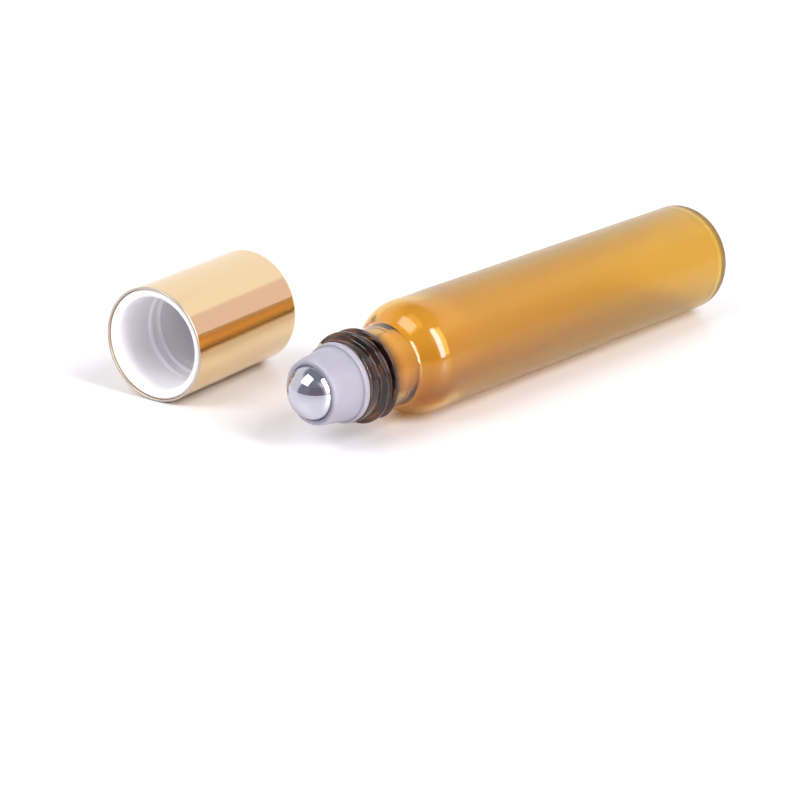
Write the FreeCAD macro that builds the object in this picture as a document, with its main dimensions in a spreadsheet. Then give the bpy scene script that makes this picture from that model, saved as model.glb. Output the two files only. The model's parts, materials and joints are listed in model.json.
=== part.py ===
"""Roll-on bottle, lying on its side with its screw cap taken off and laid beside it.

Five pieces: the amber glass bottle, the plastic insert plugged into its neck, the steel ball held in
the insert, and the cap, which is an aluminium shell over a plastic liner. Millimetres, +Z up. Every
piece is round about its own X axis, and the origin is on the table under the middle of the layout.
"""
import FreeCAD, Part
import os
import re
import Sketcher

doc = FreeCAD.newDocument("RollOnBottle")

# Driving dimensions, one row each: name, value, what it measures
SIZES = (
    ("body_diameter", 20.0, "glass body, outside"),
    ("glass_wall", 1.4, "glass body wall"),
    ("glass_height", 97.0, "base to lip"),
    ("neck_height", 11.9, "neck root to lip"),
    ("neck_diameter", 14.0, "plain neck, outside"),
    ("neck_wall", 1.6, "glass neck wall"),
    ("shoulder_rise", 3.3, "height of the sloping shoulder, before rounding"),
    ("shoulder_radius", 6.4, "rounding from body to shoulder, outside"),
    ("neck_root_radius", 2.5, "hollow rounding from shoulder to neck"),
    ("bore_root_radius", 2.0, "rounding where the neck bore opens into the body"),
    ("lip_radius", 0.4, "fire-polished lip edges"),
    ("base_thickness", 1.5, "glass base, at its edge"),
    ("heel_radius", 2.0, "rounding from base to body, outside"),
    ("inner_heel_radius", 1.2, "rounding from base to body, inside"),
    ("push_up", 0.5, "depth of the hollow under the base"),
    ("standing_ring", 1.8, "width of the flat ring round that hollow"),
    ("ball_diameter", 9.5, "steel roller ball"),
    ("ball_clearance", 0.1, "ball to socket, all round"),
    ("ball_height", 5.6, "glass lip to ball centre"),
    ("lip_over_centre", 1.4, "ball centre to the insert's rim"),
    ("rim_wall", 0.65, "insert nose, at its rim"),
    ("flange_ledge", 0.45, "flange edge to the nose"),
    ("nose_rim_radius", 0.4, "rounding of the insert's rim"),
    ("flange_setback", 0.2, "neck wall to the edge of the insert's flange"),
    ("flange_thickness", 1.1, "insert flange"),
    ("flange_radius", 0.35, "rounding of the flange's front edge"),
    ("plug_length", 7.5, "insert plug below the flange"),
    ("rib_height", 0.2, "sealing ribs, out from the plug"),
    ("plug_wall", 1.3, "insert plug"),
    ("plug_lead_in", 0.6, "bevel at the plug's inner end"),
    ("plug_clearance", 0.1, "sealing ribs to neck bore"),
    ("rib_width", 0.9, "sealing rib at its root"),
    ("rib_spacing", 1.8, "sealing rib to the next"),
    ("rib_count", 3, "sealing ribs on the plug"),
    ("first_rib", 2.2, "plug's inner end to the middle of the first rib"),
    ("socket_floor", 0.5, "flange underside down to the floor's underside"),
    ("feed_diameter", 4.4, "feed hole in the socket floor"),
    ("cap_diameter", 20.3, "cap shell, outside"),
    ("cap_length", 28.0, "cap shell, mouth to top"),
    ("shell_wall", 0.4, "cap shell"),
    ("cap_corner_radius", 1.2, "rounding of the cap's top edge"),
    ("liner_clearance", 0.05, "liner to shell"),
    ("liner_wall", 1.45, "liner, round its bore"),
    ("liner_floor", 2.2, "liner, at its closed end"),
    ("liner_recess", 0.2, "shell edge to liner edge at the mouth"),
    ("liner_lead_in", 0.7, "bevel at the liner's mouth"),
    ("liner_corner_radius", 1.0, "rounding inside the liner's closed end"),
    ("cap_beside", 36.4, "bottle axis to the middle of the cap's mouth, sideways"),
    ("cap_ahead", 7.4, "glass lip to the cap's mouth, along the bottle"),
    ("cap_yaw", 7.6, "cap axis to bottle axis, degrees"),
)

sheet = doc.addObject("Spreadsheet::Sheet", "Sizes")
for row, (alias, value, meaning) in enumerate(SIZES, start=1):
    sheet.set(f"A{row}", meaning)
    sheet.set(f"B{row}", str(value))
    sheet.setAlias(f"B{row}", alias)
doc.recompute()
ALIASES = {alias for alias, value, meaning in SIZES}
SAME_PLACE = 1e-6  # two points closer than this are one


def bound(formula):
    """The formula with each size's name pointed at its cell in the sheet."""
    return re.sub(r"[a-z_]+", lambda word: "Sizes." * (word[0] in ALIASES) + word[0], formula)


def bind(thing, **formulas):
    """Bind properties of an object to formulas; a double underscore stands for the dot in a path."""
    for path, formula in formulas.items():
        thing.setExpression(path.replace("__", "."), bound(formula))


def new_body(label):
    """An empty body, named for its piece."""
    body = doc.addObject("PartDesign::Body", label)
    body.Label = label
    return body


def origin_feature(body, role):
    """One of the body's own origin planes or axes."""
    return next(item for item in body.Origin.OriginFeatures if item.Role == role)


def outline(body, name, corners):
    """A closed sketch of straight lines through named corners, each (along the axis, out from it)."""
    sketch = body.newObject("Sketcher::SketchObject", name)
    sketch.AttachmentSupport = (origin_feature(body, "XY_Plane"), [""])
    sketch.MapMode = "FlatFace"
    count = len(corners)
    rough = [FreeCAD.Vector(step, step ** 2, 0) for step in range(1, count + 1)]
    for step in range(count):
        sketch.addGeometry(Part.LineSegment(rough[step], rough[(step + 1) % count]), False)
    for step in range(count):
        sketch.addConstraint(Sketcher.Constraint("Coincident", step, 2, (step + 1) % count, 1))
    for step, formulas in enumerate(corners.values()):
        start = rough[step]
        ways = (("DistanceX", -2, start.x), ("DistanceY", -1, start.y))
        for (kind, axis, value), formula in zip(ways, formulas):
            if formula == "0":
                sketch.addConstraint(Sketcher.Constraint("PointOnObject", step, 1, axis))
                continue
            index = sketch.addConstraint(Sketcher.Constraint(kind, -1, 1, step, 1, value))
            sketch.setExpression(f"Constraints[{index}]", bound(formula))
    doc.recompute()
    return sketch


def turned(body, name, corners):
    """The outline turned once round the body's X axis, as a solid; gives its sketch."""
    sketch = outline(body, name + "Outline", corners)
    solid = body.newObject("PartDesign::Revolution", name)
    solid.Profile = sketch
    solid.ReferenceAxis = (sketch, ["H_Axis"])
    solid.Angle = 360.0
    body.Tip = solid
    doc.recompute()
    return sketch


def rounded(body, name, radius, sketch, corners, chosen):
    """Round the ring edges that the chosen corners of a turned outline left on the body."""
    names = list(corners)
    spots = [sketch.Geometry[names.index(corner)].StartPoint for corner in chosen]
    base = body.Tip

    def on_ring(curve):
        """Whether a chosen corner drew this curve as the outline was turned."""
        if not isinstance(curve, Part.Circle):
            return False
        corner = FreeCAD.Vector(curve.Center.x, curve.Radius, 0)
        return any(corner.isEqual(spot, SAME_PLACE) for spot in spots)

    edges = [f"Edge{number}" for number, edge in enumerate(base.Shape.Edges, start=1) if on_ring(edge.Curve)]
    rounding = body.newObject("PartDesign::Fillet", name)
    rounding.Base = (base, edges)
    bind(rounding, Radius=radius)
    body.Tip = rounding
    doc.recompute()


def hollowed(body, name, radius, along):
    """Cut a ball-shaped hollow centred on the body's X axis, with its poles on that axis."""
    hollow = body.newObject("PartDesign::SubtractiveSphere", name)
    hollow.Placement.Rotation = FreeCAD.Rotation(FreeCAD.Vector(0, 1, 0), 90)
    bind(hollow, Radius=radius, Placement__Base__x=along)
    body.Tip = hollow
    doc.recompute()


def place(piece, x, y, z, turn):
    """Set a piece at formulas for x, y and z, turned about the upright by a formula in degrees."""
    piece.Placement = FreeCAD.Placement(FreeCAD.Vector(), FreeCAD.Rotation(FreeCAD.Vector(0, 0, 1), 180))
    bind(piece, Placement__Base__x=x, Placement__Base__y=y, Placement__Base__z=z)
    bind(piece, Placement__Rotation__Angle=turn)


# Layout: the bottle lies along X with its neck towards -X, and the cap lies on its far side
HALF_LENGTH = "(glass_height + ball_height + ball_diameter / 2) / 2"
CAP_REACH = "cap_beside + cap_length * sin(cap_yaw) + cap_diameter / 2 * cos(cap_yaw)"
BOTTLE_Y = f"(body_diameter / 2 - ({CAP_REACH})) / 2"
BOTTLE_Z = "body_diameter / 2"
LIP_X = f"{HALF_LENGTH} - glass_height"
BACK_TO_FRONT = "180"

# Glass bottle: straight body, drawn-in neck and a base hardly thicker than the wall, hollow underneath
glass = new_body("glass_bottle")
BODY_R = "body_diameter / 2"
INNER_R = "body_diameter / 2 - glass_wall"
NECK_BORE_R = "neck_diameter / 2 - neck_wall"
NECK_ROOT = "glass_height - neck_height"
SHOULDER = f"{NECK_ROOT} - shoulder_rise"
GLASS = {
    "base_centre": ("0", "0"),
    "heel": ("0", BODY_R),
    "shoulder": (SHOULDER, BODY_R),
    "neck_root": (NECK_ROOT, "neck_diameter / 2"),
    "lip_outside": ("glass_height", "neck_diameter / 2"),
    "lip_inside": ("glass_height", NECK_BORE_R),
    "bore_root": (f"{NECK_ROOT} - glass_wall", NECK_BORE_R),
    "inner_shoulder": (f"{SHOULDER} - glass_wall", INNER_R),
    "inner_heel": ("base_thickness", INNER_R),
    "inner_base": ("base_thickness", "0"),
}
wall = turned(glass, "GlassWall", GLASS)
rounded(glass, "Shoulder", "shoulder_radius", wall, GLASS, ["shoulder"])
rounded(glass, "InnerShoulder", "shoulder_radius - glass_wall", wall, GLASS, ["inner_shoulder"])
rounded(glass, "NeckRoot", "neck_root_radius", wall, GLASS, ["neck_root"])
rounded(glass, "BoreRoot", "bore_root_radius", wall, GLASS, ["bore_root"])
rounded(glass, "Heel", "heel_radius", wall, GLASS, ["heel"])
rounded(glass, "InnerHeel", "inner_heel_radius", wall, GLASS, ["inner_heel"])
rounded(glass, "Lip", "lip_radius", wall, GLASS, ["lip_outside", "lip_inside"])
PUSH_UP_R = "(body_diameter / 2 - heel_radius - standing_ring)"
PUSH_UP_BALL = f"({PUSH_UP_R} ^ 2 + push_up ^ 2) / (2 * push_up)"
hollowed(glass, "PushUp", PUSH_UP_BALL, f"push_up - {PUSH_UP_BALL}")
place(glass, HALF_LENGTH, BOTTLE_Y, BOTTLE_Z, BACK_TO_FRONT)

# Roller insert: a plug with sealing ribs, a flange that stops on the glass lip, and a nose whose
# rim closes over the ball's widest part so that the ball snaps in and stays
insert = new_body("roller_insert")
PLUG_R = f"{NECK_BORE_R} - plug_clearance - rib_height"
PLUG_BORE = f"{PLUG_R} - plug_wall"
SOCKET_R = "ball_diameter / 2 + ball_clearance"
FLANGE_R = "neck_diameter / 2 - flange_setback"
NOSE_TOP = "plug_length + ball_height + lip_over_centre"
INSERT = {
    "plug_end_inside": ("0", PLUG_BORE),
    "plug_end_outside": ("0", f"{PLUG_R} - plug_lead_in"),
    "plug_lead_in": ("plug_lead_in", PLUG_R),
    "plug_root": ("plug_length", PLUG_R),
    "flange_back": ("plug_length", FLANGE_R),
    "flange_front": ("plug_length + flange_thickness", FLANGE_R),
    "nose_root": ("plug_length + flange_thickness", f"{FLANGE_R} - flange_ledge"),
    "nose_rim": (NOSE_TOP, f"{SOCKET_R} + rim_wall"),
    "nose_middle": (NOSE_TOP, "feed_diameter / 2"),
    "feed_end": ("plug_length - socket_floor", "feed_diameter / 2"),
    "plug_floor": ("plug_length - socket_floor", PLUG_BORE),
}
housing = turned(insert, "Housing", INSERT)
rounded(insert, "NoseRim", "nose_rim_radius", housing, INSERT, ["nose_rim"])
rounded(insert, "FlangeEdge", "flange_radius", housing, INSERT, ["flange_front"])
hollowed(insert, "Socket", SOCKET_R, "plug_length + ball_height")
RIB = {
    "rib_start": ("first_rib - rib_width / 2", PLUG_BORE),
    "rib_foot": ("first_rib - rib_width / 2", PLUG_R),
    "rib_crest": ("first_rib", f"{PLUG_R} + rib_height"),
    "rib_heel": ("first_rib + rib_width / 2", PLUG_R),
    "rib_end": ("first_rib + rib_width / 2", PLUG_BORE),
}
turned(insert, "SealingRib", RIB)
ribs = insert.newObject("PartDesign::LinearPattern", "SealingRibs")
ribs.Originals = [doc.getObject("SealingRib")]
ribs.Direction = (origin_feature(insert, "X_Axis"), [""])
bind(ribs, Length="rib_spacing * (rib_count - 1)", Occurrences="rib_count")
insert.Tip = ribs
place(insert, f"{LIP_X} + plug_length", BOTTLE_Y, BOTTLE_Z, BACK_TO_FRONT)

# Roller ball: ground steel, free to roll in the insert's socket
ball = doc.addObject("Part::Sphere", "roller_ball")
ball.Label = "roller_ball"
bind(ball, Radius="ball_diameter / 2")
place(ball, f"{LIP_X} - ball_height", BOTTLE_Y, BOTTLE_Z, BACK_TO_FRONT)

# Cap shell: a deep-drawn aluminium cup
shell = new_body("cap_shell")
SHELL_R = "cap_diameter / 2"
SHELL_BORE = "cap_diameter / 2 - shell_wall"
SHELL = {
    "mouth_inside": ("0", SHELL_BORE),
    "mouth_outside": ("0", SHELL_R),
    "top_edge": ("cap_length", SHELL_R),
    "top_centre": ("cap_length", "0"),
    "inner_top": ("cap_length - shell_wall", "0"),
    "inner_edge": ("cap_length - shell_wall", SHELL_BORE),
}
cup = turned(shell, "Cup", SHELL)
rounded(shell, "TopEdge", "cap_corner_radius", cup, SHELL, ["top_edge"])
rounded(shell, "InnerTopEdge", "cap_corner_radius - shell_wall", cup, SHELL, ["inner_edge"])

# Cap liner: a moulded cup that fills the shell and seats against its top
liner = new_body("cap_liner")
LINER_R = f"{SHELL_BORE} - liner_clearance"
LINER_BORE = f"{LINER_R} - liner_wall"
LINER_TOP = "cap_length - shell_wall"
LINER_DEPTH = f"{LINER_TOP} - liner_floor"
LINER = {
    "rim_inside": ("liner_recess", f"{LINER_BORE} + liner_lead_in"),
    "rim_outside": ("liner_recess", LINER_R),
    "top_edge": (LINER_TOP, LINER_R),
    "top_centre": (LINER_TOP, "0"),
    "floor_centre": (LINER_DEPTH, "0"),
    "floor_edge": (LINER_DEPTH, LINER_BORE),
    "lead_in_end": ("liner_recess + liner_lead_in", LINER_BORE),
}
lining = turned(liner, "Lining", LINER)
rounded(liner, "LinerTopEdge", "cap_corner_radius", lining, LINER, ["top_edge"])
rounded(liner, "FloorEdge", "liner_corner_radius", lining, LINER, ["floor_edge"])
for piece in (shell, liner):
    place(piece, f"{LIP_X} - cap_ahead", f"{BOTTLE_Y} + cap_beside", "cap_diameter / 2", "cap_yaw")

# Write each piece, once all of them are sound
doc.recompute()
faults = [thing.Name for thing in doc.Objects if {"Invalid", "Error"} & set(thing.State)]
pieces = (glass, insert, ball, shell, liner)
faults += [piece.Label for piece in pieces if piece.Shape.isNull() or not piece.Shape.isValid()]
faults += [piece.Label for piece in pieces if len(piece.Shape.Solids) != 1]
if faults:
    raise RuntimeError("these did not build: " + ", ".join(faults))
os.makedirs("parts", exist_ok=True)
for piece in pieces:
    piece.Shape.exportStep(f"parts/{piece.Label}.step")
    print(piece.Label, f"{piece.Shape.Volume:.1f} mm3", piece.Shape.BoundBox)
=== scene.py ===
import json
import math

import bpy
import numpy as np
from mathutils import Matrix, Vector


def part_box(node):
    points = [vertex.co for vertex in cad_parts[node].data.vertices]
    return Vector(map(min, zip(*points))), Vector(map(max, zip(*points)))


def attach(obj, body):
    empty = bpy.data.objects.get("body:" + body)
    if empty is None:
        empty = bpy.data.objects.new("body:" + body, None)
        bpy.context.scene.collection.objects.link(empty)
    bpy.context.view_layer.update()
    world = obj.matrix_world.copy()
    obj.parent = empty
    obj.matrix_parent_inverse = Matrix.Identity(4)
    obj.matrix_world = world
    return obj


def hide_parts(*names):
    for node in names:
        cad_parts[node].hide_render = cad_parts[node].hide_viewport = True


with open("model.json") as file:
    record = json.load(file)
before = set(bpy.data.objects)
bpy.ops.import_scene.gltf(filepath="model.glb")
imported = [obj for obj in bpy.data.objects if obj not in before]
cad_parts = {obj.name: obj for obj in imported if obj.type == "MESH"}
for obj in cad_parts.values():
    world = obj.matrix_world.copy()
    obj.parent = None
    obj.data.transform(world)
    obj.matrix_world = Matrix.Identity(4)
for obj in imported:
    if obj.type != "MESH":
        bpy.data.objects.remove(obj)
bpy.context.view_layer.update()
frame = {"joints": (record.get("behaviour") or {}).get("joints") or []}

# Glass bottle: a slim vial drawn from amber soda-lime tube. The neck is pressed while hot, with a
# right-hand thread for the cap, and the base is closed and pushed in a little so that it stands.
# Sizes are in millimetres, and each piece is round about its own axis, from base to lip here.
MM = 0.001
low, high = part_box("glass_bottle")
BOTTLE_LENGTH = (high.x - low.x) / MM
BODY_R = (high.z - low.z) / 2 / MM
GLASS_WALL = 1.4
NECK_R = 7.0
NECK_BORE_R = 5.4
NECK_HEIGHT = 11.9
SHOULDER_RISE = 3.3
SHOULDER_RADIUS = 6.4
NECK_ROOT_RADIUS = 2.5
BORE_ROOT_RADIUS = 2.0
LIP_RADIUS = 0.4
BASE_THICKNESS = 1.5
HEEL_RADIUS = 2.0
INNER_HEEL_RADIUS = 1.2
PUSH_UP = 0.5
PUSH_UP_R = 6.2
THREAD_PITCH = 2.4
THREAD_HEIGHT = 0.92
THREAD_ROOT = 1.5
THREAD_CREST = 0.35
THREAD_BELOW_LIP = 2.5
THREAD_TURNS = (-1.5, 0.25)
THREAD_FADE = 0.1
FINE_ROWS_FROM = 2.0
GLASS_COLUMNS = 224
HOLLOW_ROWS = 12
RUN_STEP = 2.0
THREAD_STEP = 0.09
ARC_STEP = math.radians(5)
ARC_POINTS_MIN = 3
ON_WALL = 0.01


def rounded_outline(corners, run_step):
    """Points (along, out) of an open outline of straight runs whose corners (along, out, radius) are
    rounded: the arc of that radius touches both runs at radius * tan(turn / 2) from the corner. The
    runs between are divided evenly, no wider than the step."""
    spots = np.array([corner[:2] for corner in corners], float)
    radii = [corner[2] for corner in corners[1:-1]]
    rows = [spots[:1]]
    for before, spot, after, radius in zip(spots, spots[1:], spots[2:], radii):
        arrive = (spot - before) / np.linalg.norm(spot - before)
        leave = (after - spot) / np.linalg.norm(after - spot)
        turn = math.atan2(arrive[0] * leave[1] - arrive[1] * leave[0], arrive @ leave)
        start = spot - arrive * radius * math.tan(abs(turn) / 2)
        inward = np.array([-arrive[1], arrive[0]]) * math.copysign(1.0, turn)
        count = max(ARC_POINTS_MIN, math.ceil(abs(turn) / ARC_STEP) + 1)
        swing = np.linspace(0, abs(turn), count)[:, None]
        rows.append(start + radius * (np.sin(swing) * arrive + (1 - np.cos(swing)) * inward))
    rows.append(spots[-1:])
    points = [rows[0]]
    for row in rows[1:]:
        end = points[-1][-1]
        count = max(1, math.ceil(np.linalg.norm(row[0] - end) / run_step))
        share = np.arange(1, count)[:, None] / count
        points += [end + share * (row[0] - end), row]
    return np.vstack(points)


def eased(share):
    """A share, held between 0 and 1, that starts and ends level: share squared times (3 - 2 * share)."""
    share = np.clip(share, 0, 1)
    return share ** 2 * (3 - 2 * share)


def helix_ridge(along, angle, start, turns, height):
    """Height of a screw ridge over a grid of places: each winding lies at start + pitch * turns gone by,
    its section falls smoothly from the crest's width to the root's, and its ends fade out."""
    ridge = np.zeros(np.broadcast(along, angle).shape)
    for winding in range(math.floor(turns[0]), math.ceil(turns[1]) + 1):
        gone = angle / (2 * math.pi) + winding
        off = np.abs(along - start - THREAD_PITCH * gone)
        section = eased((THREAD_ROOT - 2 * off) / (THREAD_ROOT - THREAD_CREST))
        end = eased(np.minimum(gone - turns[0], turns[1] - gone) / THREAD_FADE)
        ridge = np.maximum(ridge, height * section * end)
    return ridge


def turned_piece(name, points, origin, axis, columns, ring=False, swell=None):
    """A mesh turned from an outline: point (along, out) at angle a goes to
    origin + along * axis + (out + swell(along, out, a)) * (cos a * up + sin a * sideways), with sideways =
    axis x up. The outline runs up the piece's outside, which turns the faces outward. A ring closes on
    itself; any other outline has its two ends on the axis, where the mesh closes in poles."""
    axis = np.array(axis, float)
    origin = np.array(origin) / MM
    up = np.array([0.0, 0.0, 1.0])
    sideways = np.cross(axis, up)
    rows = points if ring else points[1:-1]
    angle = np.arange(columns) * 2 * math.pi / columns
    along, out = rows[:, :1], rows[:, 1:]
    radius = out + swell(along, out, angle) if swell else out
    spoke = np.cos(angle)[:, None] * up + np.sin(angle)[:, None] * sideways
    vertices = (origin + along[..., None] * axis + radius[..., None] * spoke).reshape(-1, 3)
    index = np.arange(len(rows) * columns).reshape(len(rows), columns)
    here = index if ring else index[:-1]
    there = np.roll(index, -1, axis=0) if ring else index[1:]
    faces = np.stack([here, np.roll(here, -1, 1), np.roll(there, -1, 1), there], -1).reshape(-1, 4).tolist()
    if not ring:
        first, last = len(vertices), len(vertices) + 1
        vertices = np.vstack([vertices, origin + points[[0, -1], :1] * axis])
        faces += np.stack([np.full(columns, first), np.roll(index[0], -1), index[0]], -1).tolist()
        faces += np.stack([np.full(columns, last), index[-1], np.roll(index[-1], -1)], -1).tolist()
    mesh = bpy.data.meshes.new(name)
    mesh.from_pydata((vertices * MM).tolist(), [], faces)
    mesh.shade_smooth()
    piece = bpy.data.objects.new(name, mesh)
    bpy.context.scene.collection.objects.link(piece)
    return piece


neck_root = BOTTLE_LENGTH - NECK_HEIGHT
shoulder = neck_root - SHOULDER_RISE
inner_r = BODY_R - GLASS_WALL
lip_middle = (NECK_R + NECK_BORE_R) / 2
hollow_r = np.linspace(0, PUSH_UP_R, HOLLOW_ROWS)
hollow = np.stack([PUSH_UP * (1 - (hollow_r / PUSH_UP_R) ** 2), hollow_r], -1)
body_wall = rounded_outline([
    (0, PUSH_UP_R, 0),
    (0, BODY_R, HEEL_RADIUS),
    (shoulder, BODY_R, SHOULDER_RADIUS),
    (neck_root, NECK_R, NECK_ROOT_RADIUS),
    (neck_root + FINE_ROWS_FROM, NECK_R, 0),
], RUN_STEP)
neck_wall = rounded_outline([
    (neck_root + FINE_ROWS_FROM, NECK_R, 0),
    (BOTTLE_LENGTH, NECK_R, LIP_RADIUS),
    (BOTTLE_LENGTH, lip_middle, 0),
], THREAD_STEP)
inner_wall = rounded_outline([
    (BOTTLE_LENGTH, lip_middle, 0),
    (BOTTLE_LENGTH, NECK_BORE_R, LIP_RADIUS),
    (neck_root - GLASS_WALL, NECK_BORE_R, BORE_ROOT_RADIUS),
    (shoulder - GLASS_WALL, inner_r, SHOULDER_RADIUS - GLASS_WALL),
    (BASE_THICKNESS, inner_r, INNER_HEEL_RADIUS),
    (BASE_THICKNESS, 0, 0),
], RUN_STEP)
glass_outline = np.vstack([hollow, body_wall[1:], neck_wall[1:], inner_wall[1:]])


def neck_thread(along, out, angle):
    """The thread's ridge, on the outside of the neck only."""
    ridge = helix_ridge(along, angle, BOTTLE_LENGTH - THREAD_BELOW_LIP, THREAD_TURNS, THREAD_HEIGHT)
    return np.where(out > NECK_R - ON_WALL, ridge, 0)


base_x = high.x
bottle_axis = ((low.y + high.y) / 2, (low.z + high.z) / 2)
bottle = turned_piece("amber_vial", glass_outline, (base_x, *bottle_axis), (-1, 0, 0), GLASS_COLUMNS,
                      swell=neck_thread)


def linear(code):
    """An sRGB hex colour as linear red, green, blue and alpha: a share up to 0.04045 is divided by 12.92,
    and any other becomes ((share + 0.055) / 1.055) to the power of 2.4."""
    share = np.array([int(code[place:place + 2], 16) for place in (1, 3, 5)]) / 255
    light = np.where(share <= 0.04045, share / 12.92, ((share + 0.055) / 1.055) ** 2.4)
    return (*light.tolist(), 1.0)


def add(tree, kind, inputs=None, **settings):
    """Add a node with its settings; each input is a value or the socket that feeds it."""
    node = tree.nodes.new(kind)
    for name, value in settings.items():
        setattr(node, name, value)
    for name, value in (inputs or {}).items():
        if isinstance(value, bpy.types.NodeSocket):
            tree.links.new(value, node.inputs[name])
        else:
            node.inputs[name].default_value = value
    return node


def new_finish(name):
    """A new material, its emptied node tree, and the socket in it that gives places on the piece."""
    material = bpy.data.materials.new(name)
    material.use_nodes = True
    tree = material.node_tree
    tree.nodes.clear()
    return material, tree, add(tree, "ShaderNodeTexCoord").outputs["Object"]


def noise(tree, place, size, detail):
    """The socket of a smooth noise from 0 to 1, with lumps about so many millimetres wide."""
    return add(tree, "ShaderNodeTexNoise", {
        "Vector": place, "Scale": 1 / (size * MM), "Detail": detail}).outputs["Fac"]


def bumps(tree, height, strength, depth):
    """The socket of the normal where a height from 0 to 1 stands for so many millimetres."""
    return add(tree, "ShaderNodeBump", {
        "Height": height, "Strength": strength, "Distance": depth * MM}).outputs["Normal"]


def ramp(tree, value, limits=(0.0, 1.0), results=(0.0, 1.0), ease="LINEAR"):
    """The socket of a value stretched so that its limits come out as the results, and held there beyond."""
    return add(tree, "ShaderNodeMapRange", {
        "Value": value, "From Min": limits[0], "From Max": limits[1], "To Min": results[0],
        "To Max": results[1]}, interpolation_type=ease).outputs["Result"]


def mixed(tree, factor, first, second, how="MIX"):
    """The socket of a colour that goes from the first to the second, or to their product, with the factor.
    The Mix node's colour sockets go by number, because its other kinds share their names."""
    return add(tree, "ShaderNodeMix", {"Factor": factor, MIX_A: first, MIX_B: second}, data_type="RGBA",
               blend_type=how).outputs[MIX_OUT]


def cover(tree, inputs, **inside):
    """End the tree in a surface with these inputs and, where one is given, a volume."""
    surface = add(tree, "ShaderNodeBsdfPrincipled", inputs)
    add(tree, "ShaderNodeOutputMaterial", {"Surface": surface.outputs["BSDF"], **inside})


def dress(piece, material, body, node):
    """Give a piece its material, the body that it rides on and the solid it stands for."""
    piece.data.materials.append(material)
    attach(piece, body)
    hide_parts(node)


# Satin amber glass: light passes, but the etched body blurs what lies behind it. The shoulder and the
# neck are left nearly clear, and the base is yellower. The neck with its thick thread is tinted dark
# brown, which is painted shade for the dark room that shows in its thick glass.
MIX_A, MIX_B, MIX_OUT = 6, 7, 2
CLEAR_BELOW_SHOULDER, SATIN_BELOW_SHOULDER = 4.0, 10.0
# The neck's painted shade is full from the first distance above its root up to the lip, and gone below the
# second, in millimetres.
SHADED_NECK_ABOVE_ROOT, AMBER_ABOVE_ROOT = 6.0, 3.0
CLEAR_ROUGHNESS, SATIN_ROUGHNESS = 0.09, 0.24
AMBER_DENSITY = 0.12 / MM
AMBER_PASS = (0.895, 0.66, 0.0, 1)
clear_to = base_x - (shoulder - CLEAR_BELOW_SHOULDER) * MM
satin_from = base_x - (shoulder - SATIN_BELOW_SHOULDER) * MM
shaded_neck_to = base_x - (neck_root + SHADED_NECK_ABOVE_ROOT) * MM
amber_from = base_x - (neck_root + AMBER_ABOVE_ROOT) * MM
amber_glass, tree, place = new_finish("amber_soda_lime_glass")
along_body = add(tree, "ShaderNodeSeparateXYZ", {"Vector": place}).outputs["X"]
satin = ramp(tree, along_body, (clear_to, satin_from), (CLEAR_ROUGHNESS, SATIN_ROUGHNESS), "SMOOTHSTEP")
base_share = ramp(tree, along_body, (clear_to, base_x))
amber = mixed(tree, base_share, linear("#F4CF6E"), linear("#EED258"))
# Painted shade: from 6 mm above its root to the lip, the neck is tinted dark brown, fading into the amber by
# 3 mm above the root.
neck_shade_share = ramp(tree, along_body, (shaded_neck_to, amber_from), ease="SMOOTHSTEP")
tint = mixed(tree, neck_shade_share, linear("#6E5052"), amber)
skin = bumps(tree, noise(tree, place, size=7.0, detail=2.0), strength=0.04, depth=0.3)
inside = add(tree, "ShaderNodeVolumeAbsorption", {"Color": AMBER_PASS, "Density": AMBER_DENSITY})
cover(tree, {
    "Base Color": tint, "Roughness": satin, "IOR": 1.52, "Transmission Weight": 1.0, "Normal": skin},
    Volume=inside.outputs["Volume"])
dress(bottle, amber_glass, "bottle", "glass_bottle")

# Roller insert: one moulding of natural polyethylene. Its hollow plug is pushed into the neck and held
# by sealing ribs, its flange stops on the lip, and its nose closes over the ball.
low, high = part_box("roller_insert")
INSERT_LENGTH = (high.x - low.x) / MM
FLANGE_R = (high.z - low.z) / 2 / MM
PLUG_LENGTH = 7.5
PLUG_R = 5.1
PLUG_BORE_R = 3.8
PLUG_LEAD_IN = 0.6
RIB_HEIGHT = 0.2
RIB_PLACES = (2.2, 4.0, 5.8)
RIB_HALF = 0.45
FLANGE_THICKNESS = 1.1
FLANGE_RADIUS = 0.35
NOSE_ROOT_R = 6.35
RIM_R = 5.5
RIM_RADIUS = 0.4
SOCKET_R = 4.85
FEED_R = 2.2
SOCKET_FLOOR = 0.5
BALL_OVER_FLANGE = 5.6
MOULD_RADIUS = 0.15
INSERT_STEP = 0.15
SOCKET_ROWS = 40
FEED_ROWS = 6
INSERT_COLUMNS = 160
ball_along = PLUG_LENGTH + BALL_OVER_FLANGE
plug_floor = PLUG_LENGTH - SOCKET_FLOOR
flange_top = PLUG_LENGTH + FLANGE_THICKNESS
rim_inner = math.sqrt(SOCKET_R ** 2 - (INSERT_LENGTH - ball_along) ** 2)
feed_along = ball_along - math.sqrt(SOCKET_R ** 2 - FEED_R ** 2)
outside = rounded_outline([
    (plug_floor, FEED_R, 0),
    (plug_floor, PLUG_BORE_R, MOULD_RADIUS),
    (0, PLUG_BORE_R, MOULD_RADIUS),
    (0, PLUG_R - PLUG_LEAD_IN, MOULD_RADIUS),
    (PLUG_LEAD_IN, PLUG_R, MOULD_RADIUS),
    (PLUG_LENGTH, PLUG_R, MOULD_RADIUS),
    (PLUG_LENGTH, FLANGE_R, MOULD_RADIUS),
    (flange_top, FLANGE_R, FLANGE_RADIUS),
    (flange_top, NOSE_ROOT_R, MOULD_RADIUS),
    (INSERT_LENGTH, RIM_R, RIM_RADIUS),
    (INSERT_LENGTH, rim_inner, 0),
], INSERT_STEP)
rim_swing = math.asin((INSERT_LENGTH - ball_along) / SOCKET_R)
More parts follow.
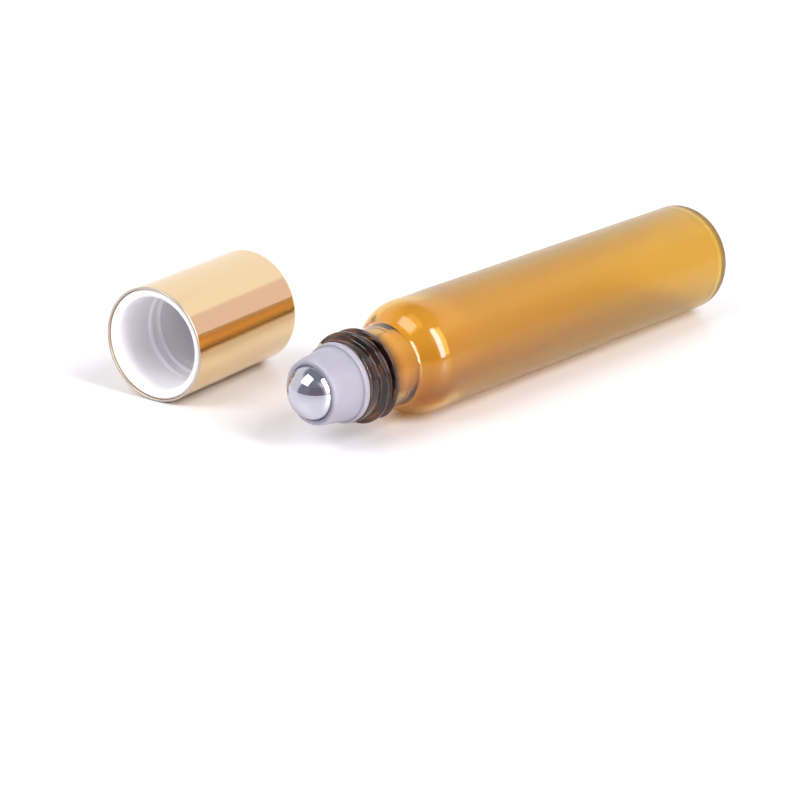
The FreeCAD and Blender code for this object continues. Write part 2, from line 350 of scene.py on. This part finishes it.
socket_swing = np.linspace(rim_swing, -math.acos(FEED_R / SOCKET_R), SOCKET_ROWS)[1:]
socket = np.stack([ball_along + SOCKET_R * np.sin(socket_swing), SOCKET_R * np.cos(socket_swing)], -1)
feed = np.linspace((feed_along, FEED_R), (plug_floor, FEED_R), FEED_ROWS)[1:-1]
insert_outline = np.vstack([outside, socket, feed])


def sealing_ribs(along, out, angle):
    """Three low ribs round the outside of the plug, each highest at its middle, the same at any angle."""
    near = np.min(np.abs(along - np.array(RIB_PLACES)), axis=1, keepdims=True)
    ribs = RIB_HEIGHT * np.clip(1 - near / RIB_HALF, 0, 1)
    return np.where((out > PLUG_R - ON_WALL) & (along < plug_floor), ribs, 0)


insert = turned_piece("roller_housing", insert_outline, (high.x, *bottle_axis), (-1, 0, 0), INSERT_COLUMNS,
                      ring=True, swell=sealing_ribs)

# Natural polyethylene: milky and a little waxy, so light soaks in and edges glow.
milky_plastic, tree, place = new_finish("natural_polyethylene")
tint = mixed(tree, noise(tree, place, size=4.0, detail=2.0), linear("#96949F"), linear("#A3A1AC"))
skin = bumps(tree, noise(tree, place, size=0.25, detail=3.0), strength=0.06, depth=0.05)
cover(tree, {
    "Base Color": tint, "Roughness": 0.32, "IOR": 1.51, "Subsurface Weight": 1.0,
    "Subsurface Radius": (1.0, 0.95, 1.0), "Subsurface Scale": 2.5 * MM, "Normal": skin})
dress(insert, milky_plastic, "insert", "roller_insert")

# Roller ball: a ground and polished bearing ball of stainless steel, snapped into the insert. It is
# free to roll, and carries a film of the liquid out from the feed hole.
low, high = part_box("roller_ball")
BALL_R = (high.z - low.z) / 2 / MM
BALL_ROWS = 97
BALL_COLUMNS = 192
swing = np.linspace(0, math.pi, BALL_ROWS)
ball_outline = np.stack([-BALL_R * np.cos(swing), BALL_R * np.sin(swing)], -1)
ball = turned_piece("steel_ball", ball_outline, tuple((low + high) / 2), (-1, 0, 0), BALL_COLUMNS)

# Polished stainless steel: a mirror with a faint haze of lapping marks, so the room shows sharp in it.
polished_steel, tree, place = new_finish("polished_stainless_steel")
haze = ramp(tree, noise(tree, place, size=0.4, detail=4.0), results=(0.02, 0.07))
cover(tree, {"Base Color": linear("#C0BFC8"), "Metallic": 1.0, "Roughness": haze})
dress(ball, polished_steel, "ball", "roller_ball")

# Cap shell: a cup deep-drawn from thin aluminium, polished and anodised gold. It is pressed over the
# liner, and its cut edge shows as a bare grey line round the mouth.
turn_joint = next(joint for joint in frame["joints"] if joint["name"] == "cap_turn")
cap_axis = np.array(turn_joint["axis"]) / np.linalg.norm(turn_joint["axis"])
cap_mouth = tuple(turn_joint["pos_m"])
low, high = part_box("cap_shell")
CAP_R = (high.z - low.z) / 2 / MM
CAP_LENGTH = 28.0
CAP_CORNER_RADIUS = 1.2
SHELL_WALL = 0.4
CUT_EDGE_RADIUS = 0.19
SHELL_STEP = 0.5
SHELL_COLUMNS = 224
shell_bore_r = CAP_R - SHELL_WALL
shell_floor = CAP_LENGTH - SHELL_WALL
shell_outline = rounded_outline([
    (shell_floor, 0, 0),
    (shell_floor, shell_bore_r, CAP_CORNER_RADIUS - SHELL_WALL),
    (0, shell_bore_r, CUT_EDGE_RADIUS),
    (0, CAP_R, CUT_EDGE_RADIUS),
    (CAP_LENGTH, CAP_R, CAP_CORNER_RADIUS),
    (CAP_LENGTH, 0, 0),
], SHELL_STEP)
shell = turned_piece("gold_shell", shell_outline, cap_mouth, cap_axis, SHELL_COLUMNS)


def dot(tree, vector, direction):
    """The socket of how far a vector reaches along a direction: their dot product."""
    return add(tree, "ShaderNodeVectorMath", {0: vector, 1: direction},
               operation="DOT_PRODUCT").outputs["Value"]


def reckon(tree, operation, first, second):
    """The socket of a product, a maximum or the like of two numbers."""
    return add(tree, "ShaderNodeMath", {0: first, 1: second}, operation=operation).outputs["Value"]


# Gold anodised aluminium: a mirror under a dyed oxide skin, with drawing lines along the cap that
# soften it a little, and the dull bare metal of the cut edge at the mouth.
LINE_LENGTH, LINE_WIDTH = 20 * MM, 0.3 * MM
BARE_TO, GOLD_FROM = 0.1 * MM, 0.25 * MM
BARE_ROUGHNESS = 0.35
cap_yaw = math.atan2(cap_axis[1], cap_axis[0])
mouth_along = float(np.dot(cap_mouth, cap_axis))
gold_aluminium, tree, place = new_finish("gold_anodised_aluminium")
along_cap = add(tree, "ShaderNodeMapping", {
    "Vector": place, "Rotation": (0, 0, cap_yaw), "Scale": (LINE_LENGTH, LINE_WIDTH, LINE_WIDTH)},
    vector_type="TEXTURE")
lines = add(tree, "ShaderNodeTexNoise", {"Vector": along_cap.outputs["Vector"], "Scale": 1.0, "Detail": 3.0})
haze = ramp(tree, lines.outputs["Fac"], results=(0.05, 0.12))
bare = ramp(tree, dot(tree, place, cap_axis), (mouth_along + GOLD_FROM, mouth_along + BARE_TO))
tint = mixed(tree, bare, linear("#EDD2A4"), linear("#BDB5AA"))
rough = reckon(tree, "MAXIMUM", haze, reckon(tree, "MULTIPLY", bare, BARE_ROUGHNESS))
cover(tree, {"Base Color": tint, "Metallic": 1.0, "Roughness": rough})
dress(shell, gold_aluminium, "cap", "cap_shell")

# Cap liner: a cup moulded in white polypropylene with the cap's screw thread inside. It fills the shell
# and stands back a little from its edge.
LINER_CLEARANCE = 0.05
LINER_BORE_R = 8.25
LINER_RECESS = 0.2
LINER_DEPTH = 25.4
LINER_LEAD_IN = 0.7
LEAD_IN_RADIUS = 0.5
LINER_RIM_RADIUS = 0.35
LINER_FLOOR_RADIUS = 1.0
LINER_THREAD_START = 10.0
LINER_THREAD_TURNS = (-0.5, 1.6)
LINER_THREAD_HEIGHT = 0.4
PLAIN_MOUTH = 2.0
BORE_STEP = 0.12
BACK_STEP = 1.0
LINER_COLUMNS = 192
liner_r = shell_bore_r - LINER_CLEARANCE
lead_in_end = LINER_RECESS + LINER_LEAD_IN
liner_bore = rounded_outline([
    (LINER_DEPTH, 0, 0),
    (LINER_DEPTH, LINER_BORE_R, LINER_FLOOR_RADIUS),
    (PLAIN_MOUTH, LINER_BORE_R, 0),
], BORE_STEP)
liner_back = rounded_outline([
    (PLAIN_MOUTH, LINER_BORE_R, 0),
    (lead_in_end, LINER_BORE_R, LEAD_IN_RADIUS),
    (LINER_RECESS, LINER_BORE_R + LINER_LEAD_IN, LEAD_IN_RADIUS),
    (LINER_RECESS, liner_r, LINER_RIM_RADIUS),
    (shell_floor, liner_r, CAP_CORNER_RADIUS),
    (shell_floor, 0, 0),
], BACK_STEP)
liner_outline = np.vstack([liner_bore, liner_back[1:]])


def cap_thread(along, out, angle):
    """The cap's thread, a ridge that stands in from the bore's wall."""
    ridge = helix_ridge(along, angle, LINER_THREAD_START, LINER_THREAD_TURNS, LINER_THREAD_HEIGHT)
    return np.where(np.abs(out - LINER_BORE_R) < ON_WALL, -ridge, 0)


liner = turned_piece("threaded_liner", liner_outline, cap_mouth, cap_axis, LINER_COLUMNS, swell=cap_thread)

# White polypropylene: moulded and smooth, and light soaks into it a little at the rim.
white_plastic, tree, place = new_finish("white_polypropylene")
tint = mixed(tree, noise(tree, place, size=6.0, detail=2.0), linear("#FAF7FC"), linear("#FDFBFE"))
skin = bumps(tree, noise(tree, place, size=0.3, detail=3.0), strength=0.05, depth=0.04)
cover(tree, {
    "Base Color": tint, "Roughness": 0.3, "IOR": 1.49, "Subsurface Weight": 0.3,
    "Subsurface Radius": (1.0, 1.0, 1.0), "Subsurface Scale": 0.8 * MM, "Normal": skin})
dress(liner, white_plastic, "cap", "cap_liner")

# Table: a wide sheet of white laminate that everything lies on. It isn't part of the object.
TABLE_HALF = 2.0
TABLE_DROP = 0.02 * MM
corners = [(x * TABLE_HALF, y * TABLE_HALF, -TABLE_DROP) for x, y in ((-1, -1), (1, -1), (1, 1), (-1, 1))]
table_mesh = bpy.data.meshes.new("table")
table_mesh.from_pydata(corners, [], [(0, 1, 2, 3)])
table = bpy.data.objects.new("table", table_mesh)
bpy.context.scene.collection.objects.link(table)
# White laminate: pale and half glossy, so that the pieces show in it as soft glows.
white_laminate, tree, place = new_finish("white_laminate")
gloss = ramp(tree, noise(tree, place, size=3.0, detail=2.0), results=(0.26, 0.36))
cover(tree, {"Base Color": linear("#E9E8EA"), "Roughness": gloss})
table_mesh.materials.append(white_laminate)

# Light: a pale backdrop round the far side of the table and its right, pinkish low down on the right, a
# dim room at the near left and overhead, and two windows. Each pair of limits says where a part begins
# and where it is full: how far a direction of length 1 reaches to the backdrop's middle, up or along Y.
BACKDROP_AZIMUTH = math.radians(20)
BACKDROP_EDGE = (-0.66, -0.47)
BACKDROP_TOP = (0.85, 0.65)
WALL_TOP = (0.53, 0.50)
WALL_END = (-0.2, -0.3)
DIM_ROOM = (0.32, 0.33, 0.375, 1)
PALE_BACKDROP = (1.08, 1.06, 1.10, 1)
PINK_WALL = (0.86, 0.70, 0.74, 1)
world = bpy.data.worlds.new("studio")
world.use_nodes = True
tree = world.node_tree
tree.nodes.clear()
toward = add(tree, "ShaderNodeTexCoord").outputs["Generated"]
parts = add(tree, "ShaderNodeSeparateXYZ", {"Vector": toward}).outputs
facing = dot(tree, toward, (math.cos(BACKDROP_AZIMUTH), math.sin(BACKDROP_AZIMUTH), 0))
backdrop = reckon(tree, "MULTIPLY", ramp(tree, facing, BACKDROP_EDGE, ease="SMOOTHSTEP"),
                  ramp(tree, parts["Z"], BACKDROP_TOP, ease="SMOOTHSTEP"))
wall = reckon(tree, "MULTIPLY", ramp(tree, parts["Z"], WALL_TOP), ramp(tree, parts["Y"], WALL_END))
sky = mixed(tree, backdrop, DIM_ROOM, PALE_BACKDROP)
glow = add(tree, "ShaderNodeBackground", {"Color": mixed(tree, wall, sky, PINK_WALL, "MULTIPLY")})
add(tree, "ShaderNodeOutputWorld", {"Surface": glow.outputs["Background"]})
bpy.context.scene.world = world
# name, azimuth and elevation in degrees, distance, width and height in metres, radiance
WINDOWS = (
    ("left_window", 163, 52, 3.0, 1.9, 1.9, 4.5),
    ("right_window", -88, 33, 3.0, 0.9, 3.0, 13.5),
)
for name, azimuth, elevation, distance, wide, tall, radiance in WINDOWS:
    lamp = bpy.data.lights.new(name, "AREA")
    lamp.shape = "RECTANGLE"
    lamp.size, lamp.size_y = wide, tall
    lamp.energy = radiance * math.pi * wide * tall
    holder = bpy.data.objects.new(name, lamp)
    turn, lift = math.radians(azimuth), math.radians(elevation)
    reach = distance * math.cos(lift)
    holder.location = (reach * math.cos(turn), reach * math.sin(turn), distance * math.sin(lift))
    holder.rotation_euler = (math.pi / 2 - lift, 0, turn + math.pi / 2)
    bpy.context.scene.collection.objects.link(holder)

# Camera: where the photograph was taken from, as fitted to the outlines of the bottle and the cap.
CAMERA_PLACE = (-330.95 * MM, -287.68 * MM, 148.82 * MM)
CAMERA_YAW = math.radians(48.5)
CAMERA_PITCH = math.radians(19.865)
SENSOR_WIDTH = 36.0
LENS = 114.81
camera_data = bpy.data.cameras.new("camera")
camera_data.sensor_width = SENSOR_WIDTH
camera_data.lens = LENS
camera = bpy.data.objects.new("camera", camera_data)
camera.location = CAMERA_PLACE
camera.rotation_euler = (math.pi / 2 - CAMERA_PITCH, 0, -CAMERA_YAW)
bpy.context.scene.collection.objects.link(camera)
bpy.context.scene.camera = camera
bpy.context.scene.view_settings.view_transform = "Standard"
